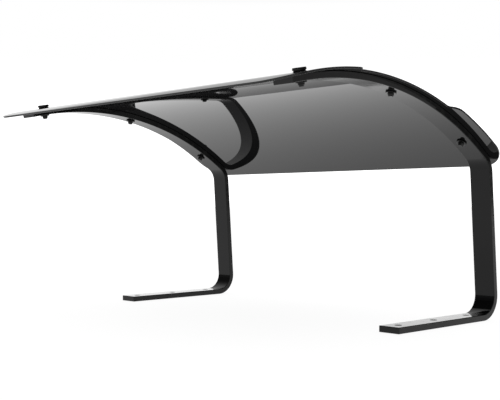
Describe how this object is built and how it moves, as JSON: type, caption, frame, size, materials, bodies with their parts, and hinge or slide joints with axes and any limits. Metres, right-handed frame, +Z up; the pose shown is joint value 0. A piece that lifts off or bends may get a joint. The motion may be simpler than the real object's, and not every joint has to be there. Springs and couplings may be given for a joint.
{
  "type": "arched shelter roof",
  "caption": "Smoked arched roof sheet bolted over two C-shaped flat bars whose long feet fix to the ground, open at the front and sides.",
  "frame": {"origin": "on the ground, at the middle of the object's width and depth", "axes": "+Z up; the open front faces -Y and the legs are at +Y; +X along the width"},
  "size_m": [0.59, 0.4279, 0.3035],
  "materials": {
    "smoked_sheet": "high gloss",
    "bar_paint": "gloss black",
    "bolt_black": "satin black",
    "washer_rubber": "matt"
  },
  "bodies": {
    "root": {"roof_sheet": "smoked_sheet", "bar_left": "bar_paint", "bar_right": "bar_paint", "bolt_left_front": "bolt_black", "bolt_left_middle": "bolt_black", "bolt_left_rear": "bolt_black", "bolt_right_front": "bolt_black", "bolt_right_middle": "bolt_black", "bolt_right_rear": "bolt_black", "washer_left_front": "washer_rubber", "washer_left_middle": "washer_rubber", "washer_left_rear": "washer_rubber", "washer_right_front": "washer_rubber", "washer_right_middle": "washer_rubber", "washer_right_rear": "washer_rubber", "lock_ring_left_front": "bolt_black", "lock_ring_left_middle": "bolt_black", "lock_ring_left_rear": "bolt_black", "lock_ring_right_front": "bolt_black", "lock_ring_right_middle": "bolt_black", "lock_ring_right_rear": "bolt_black"}
  },
  "joints": []
}
